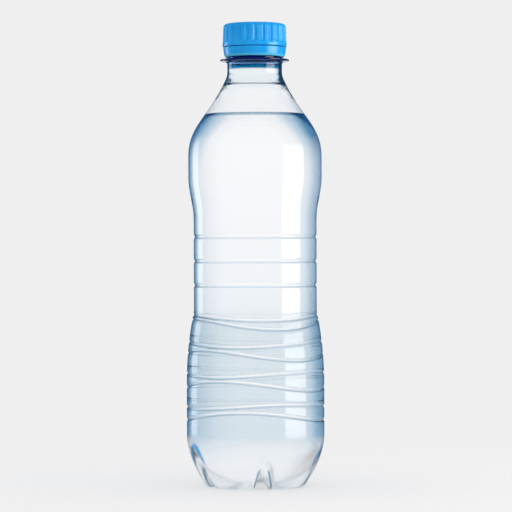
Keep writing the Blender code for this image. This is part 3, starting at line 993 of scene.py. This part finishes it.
def neck_shades(n, tint_and_shade, height, facing):
    """The thick neck with painted shade at its edges and painted bands round it, and a painted dark
    line where it meets the body.
    """
    along = n.span(height, RING_TOP - 0.0065, BEAD_TOP + 0.0008)
    painted_neck = n.multiply(n.ramp(facing, NECK_TINT_AND_EDGE_SHADE), n.ramp(along, NECK_PAINTED_BANDS))
    tint_and_shade = n.mix(n.span(height, NECK_FOOT - 0.0045, NECK_FOOT - 0.001), tint_and_shade, painted_neck)
    # A painted dark line where the neck meets the shoulder
    neck_foot_shade = n.between(height, NECK_FOOT - 0.0012, NECK_FOOT, 0.0003)
    return n.mix(n.times(neck_foot_shade, n.span(facing, 0.22, 0.42)), tint_and_shade, (0.0, 0.001, 0.01, 1))


def clear_plastic():
    """The bottle's outer skin: PET, clear in the middle and steel blue where it is seen edge on,
    partly its own colour and partly painted shade of dark surroundings seen through the edges.

    Its colour and painted shade are broad where water is behind the wall, faint in the headspace,
    and dark in the thick wall of the neck, with painted bands round the neck and painted
    highlights and shade on the grooves, shoulder and feet. The painted shade also differs between
    the bottle's own left and right. It is laid on light that enters, so that grooves on the far
    side don't show twice.
    """
    material = bpy.data.materials.new("clear_pet")
    n = Nodes(material)
    coord = n.add("TexCoord").outputs
    at = n.add("SeparateXYZ", Vector=coord["Object"]).outputs
    slope = n.add("SeparateXYZ", Vector=coord["Normal"]).outputs
    height = at["Z"]
    facing = n.add("LayerWeight", Blend=0.5).outputs["Facing"]
    # Facing is raised on the bottle's own +X side and lowered on its -X side, so the painted edge
    # shade is wider on the right
    facing = n.times(facing, n.maths("MULTIPLY_ADD", slope["X"], 0.12, 1.0))
    full = hip_shades(n, n.ramp(facing, FULL_TINT_AND_EDGE_SHADE), height, slope, facing)
    full = shoulder_shades(n, full, height, facing)
    full = base_shades(n, full, at, facing)
    above = n.span(height, WATER_LEVEL, WATER_LEVEL + 0.0004)
    tint_and_shade = n.mix(above, full, n.ramp(facing, EMPTY_TINT_AND_EDGE_SHADE))
    tint_and_shade = neck_shades(n, tint_and_shade, height, facing)
    tint_and_shade = n.mix(n.add("NewGeometry").outputs["Backfacing"], tint_and_shade, WHITE)
    shader = n.add(
        "BsdfPrincipled", Base_Color=tint_and_shade, Roughness=0.0, IOR=PET_IOR, Transmission_Weight=1.0
    )
    n.glass_output(shader, (0.93, 0.96, 0.98, 1))
    return material


def inner_skin():
    """The inside of the wall: hardly any colour, and a haze on the feet."""
    material = bpy.data.materials.new("clear_pet_inside")
    n = Nodes(material)
    height = n.add("SeparateXYZ", Vector=n.add("TexCoord").outputs["Object"]).outputs["Z"]
    shader = n.add(
        "BsdfPrincipled",
        Base_Color=(0.998, 0.999, 1.0, 1),
        Roughness=n.span(height, 0.014, 0.022, 0.22, 0.0),
        IOR=PET_IOR,
        Transmission_Weight=1.0,
    )
    n.glass_output(shader, (0.98, 0.99, 1.0, 1))
    return material


def water_material():
    """Clear water, faintly darker towards the bottom, with painted dark blue on its surface, a
    painted reflection that shows as a line at the water's edge.
    """
    material = bpy.data.materials.new("water")
    n = Nodes(material)
    height = n.add("SeparateXYZ", Vector=n.add("TexCoord").outputs["Object"]).outputs["Z"]
    stops = ((0.0, (0.992, 0.996, 1.0)), (1.0, (0.996, 0.998, 1.0)))
    tint_and_shade = n.ramp(n.span(height, 0.01, 0.15), stops)
    # Painted dark blue on the surface and the meniscus, a painted reflection
    middle = WATER_LEVEL - MENISCUS_RISE
    tint_and_shade = n.mix(n.span(height, middle - 0.0002, middle), tint_and_shade, (0.20, 0.34, 0.46, 1))
    shader = n.add(
        "BsdfPrincipled", Base_Color=tint_and_shade, Roughness=0.0, IOR=WATER_IOR, Transmission_Weight=1.0
    )
    n.glass_output(shader, (0.97, 0.985, 1.0, 1))
    return material


def blue_plastic():
    """Moulded HDPE: satin, faintly mottled and grained. The band's lower edge carries a painted
    highlight in paler blue.
    """
    material = bpy.data.materials.new("blue_hdpe")
    n = Nodes(material)
    coord = n.add("TexCoord").outputs
    cloud = n.add("TexNoise", Vector=coord["Object"], Scale=180.0, Detail=4.0).outputs["Fac"]
    grain = n.add("TexNoise", Vector=coord["Object"], Scale=4200.0, Detail=2.0).outputs["Fac"]
    height = n.add("SeparateXYZ", Vector=coord["Object"]).outputs["Z"]
    slope = n.add("SeparateXYZ", Vector=coord["Normal"]).outputs["Z"]
    stops = ((0.3, (0.003, 0.375, 0.90)), (0.7, (0.006, 0.425, 0.97)))
    colour = n.ramp(cloud, stops, smooth=True)
    # A painted highlight: paler blue on the downward-facing chamfer at the band's lower edge
    edge = n.times(n.maths("LESS_THAN", height, BAND_TOP - 0.003), n.span(slope, -0.15, -0.45))
    colour = n.mix(edge, colour, (0.12, 0.66, 1.0, 1))
    bump = n.add("Bump", Strength=0.12, Distance=0.00005, Height=grain)
    shader = n.add(
        "BsdfPrincipled",
        Base_Color=colour,
        Roughness=n.span(cloud, 0.3, 0.7, 0.20, 0.27),
        IOR=HDPE_IOR,
        Normal=bump.outputs[0],
    )
    n.add("OutputMaterial", Surface=shader.outputs[0])
    return material


def make_floor():
    """A pale disc that fades into the background away from the object."""
    floor = ring_mesh("floor", [[Vector((0, 0, 0))], level_row(FLOOR_RADIUS, 0, 96)])
    material = bpy.data.materials.new("pale_floor")
    n = Nodes(material)
    at = n.add("TexCoord").outputs["Object"]
    reach = n.add("VectorMath", {"operation": "LENGTH"}, _0=at).outputs["Value"]
    fade = n.span(reach, 0.12, 0.5, smooth=True)
    seen = n.add("LightPath").outputs["Is Camera Ray"]
    white = n.add("BsdfDiffuse", Color=(0.62, 0.60, 0.592, 1))
    lift = n.add("Emission", Color=WHITE, Strength=n.times(seen, FLOOR_LIFT))
    lit = n.add("AddShader", _0=white.outputs[0], _1=lift.outputs[0])
    clear = n.add("BsdfTransparent", Color=WHITE)
    bright = n.add("Emission", Color=WHITE, Strength=0.95)
    through = n.times(n.through_glass(), 0.8)
    mix = n.add("MixShader", _0=through, _1=lit.outputs[0], _2=bright.outputs[0])
    mix = n.add("MixShader", _0=fade, _1=mix.outputs[0], _2=clear.outputs[0])
    n.add("OutputMaterial", Surface=mix.outputs[0])
    floor.data.materials.append(material)


def make_world():
    """Pale light, a flat grey background, white behind glass and soft boxes in reflections."""
    world = bpy.data.worlds.new("studio")
    bpy.context.scene.world = world
    n = Nodes(world)
    path = n.add("LightPath").outputs
    way = n.add("SeparateXYZ", Vector=n.add("TexCoord").outputs["Generated"]).outputs
    back = n.maths("MULTIPLY", way["Y"], -1.0)
    azimuth = n.maths("DEGREES", n.maths("ARCTAN2", way["X"], back))
    rise = n.maths("DEGREES", n.maths("ARCSINE", way["Z"]))
    behind = n.maths("GREATER_THAN", n.maths("ABSOLUTE", azimuth), 174.0)
    light = n.times(behind, n.between(rise, -14, 2, 2), 0.8)
    for sideways, upright, strength in REFLECTED_BOXES:
        box = n.times(n.between(azimuth, *sideways), n.between(rise, *upright), strength)
        light = n.maths("ADD", light, box)
    ambient = n.add("Background", Color=(0.93, 0.97, 1.0, 1), Strength=0.75)
    seen = n.add("Background", Color=(BACKGROUND, BACKGROUND, BACKGROUND, 1), Strength=1.0)
    dim = n.add("Background", Color=(0.06, 0.15, 0.28, 1), Strength=1.0)
    boxes = n.add("Background", Color=WHITE, Strength=light)
    glossy = n.add("AddShader", _0=dim.outputs[0], _1=boxes.outputs[0])
    through = n.add("Background", Color=WHITE, Strength=1.0)
    mix = ambient
    for share, other in (
        (path["Is Glossy Ray"], glossy),
        (n.through_glass(), through),
        (path["Is Camera Ray"], seen),
    ):
        mix = n.add("MixShader", _0=share, _1=mix.outputs[0], _2=other.outputs[0])
    n.add("OutputWorld", Surface=mix.outputs[0])


def add_lamp(name, azimuth, height, width, tall, radiance):
    """A soft box that faces the axis, at an azimuth counted from the camera towards +X."""
    light = bpy.data.lights.new(name, "AREA")
    light.shape = "RECTANGLE"
    light.size = width
    light.size_y = tall
    light.energy = radiance * math.pi * width * tall
    lamp = bpy.data.objects.new(name, light)
    bpy.context.scene.collection.objects.link(lamp)
    lamp.location = place(math.radians(azimuth), LAMP_DISTANCE, height)
    aim = Vector((0, 0, LAMP_AIM)) - lamp.location
    lamp.rotation_euler = aim.to_track_quat("-Z", "Y").to_euler()
    lamp.visible_camera = False
    lamp.visible_transmission = False
    lamp.visible_glossy = False


def make_camera():
    """The photograph's view."""
    data = bpy.data.cameras.new("camera")
    data.lens = LENS
    data.sensor_width = 36
    camera = bpy.data.objects.new("camera", data)
    bpy.context.scene.collection.objects.link(camera)
    camera.location = (CAMERA_SIDE, -CAMERA_DISTANCE, CAMERA_HEIGHT)
    camera.rotation_euler = (math.radians(90), CAMERA_ROLL, 0)
    bpy.context.scene.camera = camera


def dress(piece, body, node, slot, *materials):
    """Give a piece its materials and its body, and hide the node that it replaces. The slot is not
    used.
    """
    for material in materials:
        piece.data.materials.append(material)
    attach(piece, body)
    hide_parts(node)


def main():
    """Build the scene."""
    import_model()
    scene = bpy.context.scene
    scene.view_settings.view_transform = "Standard"
    scene.cycles.max_bounces = BOUNCES
    scene.cycles.transmission_bounces = BOUNCES
    scene.cycles.glossy_bounces = BOUNCES
    scene.cycles.transparent_max_bounces = 24
    blue = blue_plastic()
    dress(make_bottle(), "bottle", "bottle", "clear_pet", clear_plastic(), inner_skin())
    dress(make_water(), "bottle", "water", "water", water_material())
    dress(make_cap(), "cap", "cap", "blue_hdpe", blue)
    dress(make_tamper_band(), "tamper_band", "tamper_band", "blue_hdpe", blue)
    make_floor()
    make_world()
    for lamp in LAMPS:
        add_lamp(*lamp)
    make_camera()
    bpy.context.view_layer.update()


main()
